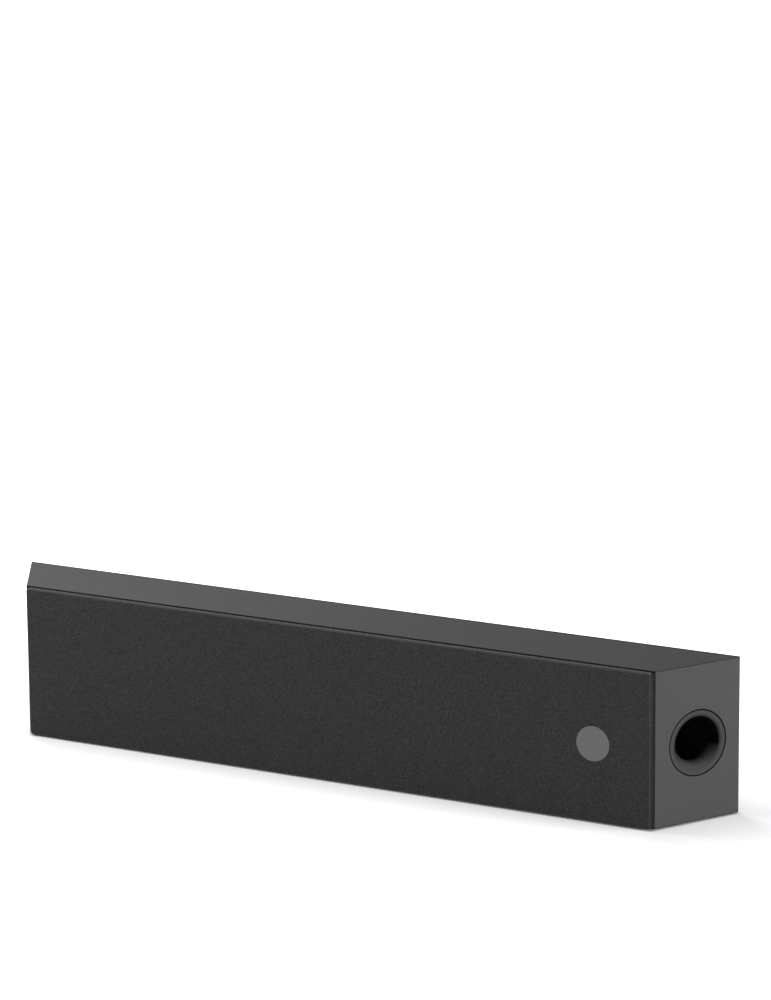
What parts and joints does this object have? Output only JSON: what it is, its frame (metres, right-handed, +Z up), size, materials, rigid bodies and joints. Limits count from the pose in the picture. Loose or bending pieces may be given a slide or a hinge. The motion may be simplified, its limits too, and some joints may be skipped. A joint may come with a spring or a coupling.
{
  "type": "soundbar",
  "caption": "Long low soundbar with mitred ends, a bass port in each end, a full-width pull-off cloth grille with a bare round badge, drivers and amplifier inside.",
  "frame": {"origin": "middle of the footprint, on the surface that the pads stand on", "axes": "+X along the length, the grille faces -Y, +Z up"},
  "size_m": [0.7686, 0.0874, 0.15],
  "materials": {
    "satin_black_cabinet": "satin black lacquer over fibreboard",
    "black_baffle": "matte black lacquer over fibreboard",
    "raw_fibreboard": "bare fibreboard",
    "damping_foam": "open-cell foam",
    "rubber": "matte",
    "brass": "turned",
    "port_plastic": "fine satin",
    "frame_plastic": "moulded, fine texture",
    "grille_cloth": "stretched acoustic cloth",
    "badge_metal": "dark satin, bare",
    "motor_steel": "plated steel and ferrite",
    "spider_cloth": "impregnated cloth",
    "basket_alloy": "black powder coat",
    "cone_paper": "pressed pulp",
    "dome_fabric": "coated silk",
    "black_screws": "black oxide",
    "plate_metal": "black anodised",
    "socket_plastic": "black",
    "socket_steel": "plated shell",
    "circuit_board": "glass-fibre laminate",
    "component_black": "moulded",
    "heat_sink_alloy": "extruded",
    "capacitor_sleeve": "sleeved can",
    "button_plastic": "moulded",
    "lens_plastic": "dark red tint",
    "wire_sleeve": "flexible insulation"
  },
  "bodies": {
    "cabinet": {"amplifier_board": "circuit_board", "baffle_screws": "black_screws", "bay_dividers": "raw_fibreboard", "board_components": "component_black", "board_standoffs": "brass", "bottom_panel": "satin_black_cabinet", "cabinet_braces": "raw_fibreboard", "connector_plate": "plate_metal", "damping_foam": "damping_foam", "front_baffle": "black_baffle", "grille_grommets": "rubber", "hdmi_socket": "socket_steel", "heat_sink": "heat_sink_alloy", "internal_wires": "wire_sleeve", "left_end_panel": "satin_black_cabinet", "left_port_mouth": "port_plastic", "left_port_tube": "port_plastic", "module_screws": "black_screws", "optical_socket": "socket_plastic", "power_board": "circuit_board", "power_capacitors": "capacitor_sleeve", "power_inlet": "socket_plastic", "power_transformer": "component_black", "rear_panel": "satin_black_cabinet", "right_end_panel": "satin_black_cabinet", "right_port_mouth": "port_plastic", "right_port_tube": "port_plastic", "rubber_pads": "rubber", "sensor_board": "circuit_board", "sensor_lenses": "lens_plastic", "subwoofer_socket": "socket_plastic", "top_panel": "satin_black_cabinet", "tweeter_1_faceplate": "frame_plastic", "tweeter_2_faceplate": "frame_plastic", "tweeter_motors": "motor_steel", "tweeter_surrounds": "spider_cloth", "wall_inserts": "brass", "woofer_1_basket": "basket_alloy", "woofer_2_basket": "basket_alloy", "woofer_3_basket": "basket_alloy", "woofer_4_basket": "basket_alloy", "woofer_motors": "motor_steel", "woofer_spiders": "spider_cloth"},
    "grille": {"grille_frame": "frame_plastic", "grille_cloth": "grille_cloth", "grille_badge": "badge_metal", "grille_pins": "frame_plastic"},
    "woofer_1_diaphragm": {"woofer_1_cone": "cone_paper", "woofer_1_surround": "rubber"},
    "woofer_2_diaphragm": {"woofer_2_cone": "cone_paper", "woofer_2_surround": "rubber"},
    "woofer_3_diaphragm": {"woofer_3_cone": "cone_paper", "woofer_3_surround": "rubber"},
    "woofer_4_diaphragm": {"woofer_4_cone": "cone_paper", "woofer_4_surround": "rubber"},
    "tweeter_1_diaphragm": {"tweeter_1_dome": "dome_fabric"},
    "tweeter_2_diaphragm": {"tweeter_2_dome": "dome_fabric"},
    "power_button": {"power_button": "button_plastic"},
    "volume_down_button": {"volume_down_button": "button_plastic"},
    "volume_up_button": {"volume_up_button": "button_plastic"}
  },
  "joints": [
    {"name": "grille_pull", "type": "slide", "parent": "cabinet", "child": "grille", "axis": [0, -1, 0], "range_m": [0, 0.04]},
    {"name": "woofer_1_stroke", "type": "slide", "parent": "cabinet", "child": "woofer_1_diaphragm", "axis": [0, -1, 0], "range_m": [-0.0035, 0.0035], "stiffness_N_per_m": 1000, "deforming": ["woofer_1_surround", "woofer_spiders"]},
    {"name": "woofer_2_stroke", "type": "slide", "parent": "cabinet", "child": "woofer_2_diaphragm", "axis": [0, -1, 0], "range_m": [-0.0035, 0.0035], "stiffness_N_per_m": 1000, "deforming": ["woofer_2_surround", "woofer_spiders"]},
    {"name": "woofer_3_stroke", "type": "slide", "parent": "cabinet", "child": "woofer_3_diaphragm", "axis": [0, -1, 0], "range_m": [-0.0035, 0.0035], "stiffness_N_per_m": 1000, "deforming": ["woofer_3_surround", "woofer_spiders"]},
    {"name": "woofer_4_stroke", "type": "slide", "parent": "cabinet", "child": "woofer_4_diaphragm", "axis": [0, -1, 0], "range_m": [-0.0035, 0.0035], "stiffness_N_per_m": 1000, "deforming": ["woofer_4_surround", "woofer_spiders"]},
    {"name": "tweeter_1_stroke", "type": "slide", "parent": "cabinet", "child": "tweeter_1_diaphragm", "axis": [0, -1, 0], "range_m": [-0.0004, 0.0004], "stiffness_N_per_m": 800, "deforming": ["tweeter_surrounds"]},
    {"name": "tweeter_2_stroke", "type": "slide", "parent": "cabinet", "child": "tweeter_2_diaphragm", "axis": [0, -1, 0], "range_m": [-0.0004, 0.0004], "stiffness_N_per_m": 800, "deforming": ["tweeter_surrounds"]},
    {"name": "power_button_press", "type": "slide", "parent": "cabinet", "child": "power_button", "axis": [0, -1, 0], "range_m": [0, 0.001], "stiffness_N_per_m": 1500},
    {"name": "volume_down_button_press", "type": "slide", "parent": "cabinet", "child": "volume_down_button", "axis": [0, -1, 0], "range_m": [0, 0.001], "stiffness_N_per_m": 1500},
    {"name": "volume_up_button_press", "type": "slide", "parent": "cabinet", "child": "volume_up_button", "axis": [0, -1, 0], "range_m": [0, 0.001], "stiffness_N_per_m": 1500}
  ]
}
